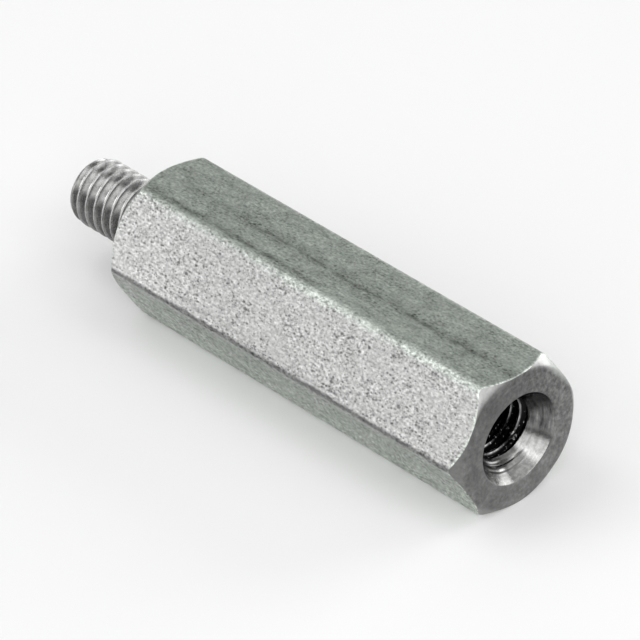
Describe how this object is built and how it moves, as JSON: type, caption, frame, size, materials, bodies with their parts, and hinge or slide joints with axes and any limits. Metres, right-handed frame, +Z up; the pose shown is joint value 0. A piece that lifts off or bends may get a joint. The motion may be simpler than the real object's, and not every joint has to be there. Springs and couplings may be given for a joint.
{
  "type": "hex standoff",
  "caption": "Hexagonal metal spacer with a threaded stud on its shoulder and a countersunk tapped hole in its open end, to hold a board off a chassis.",
  "frame": {"origin": "on the surface that the standoff lies on, under its axis and under the middle of its whole length", "axes": "+X along the axis, from the stud to the tapped end; +Z up, out of the upper flat; +Y towards a corner of the hexagon"},
  "size_m": [0.0244, 0.0068, 0.006],
  "materials": {
    "drawn_aluminium": "dull drawn flats with a fine pitted grain, bright turned ends, stud and countersink"
  },
  "bodies": {
    "root": {"standoff": "drawn_aluminium"}
  },
  "joints": []
}
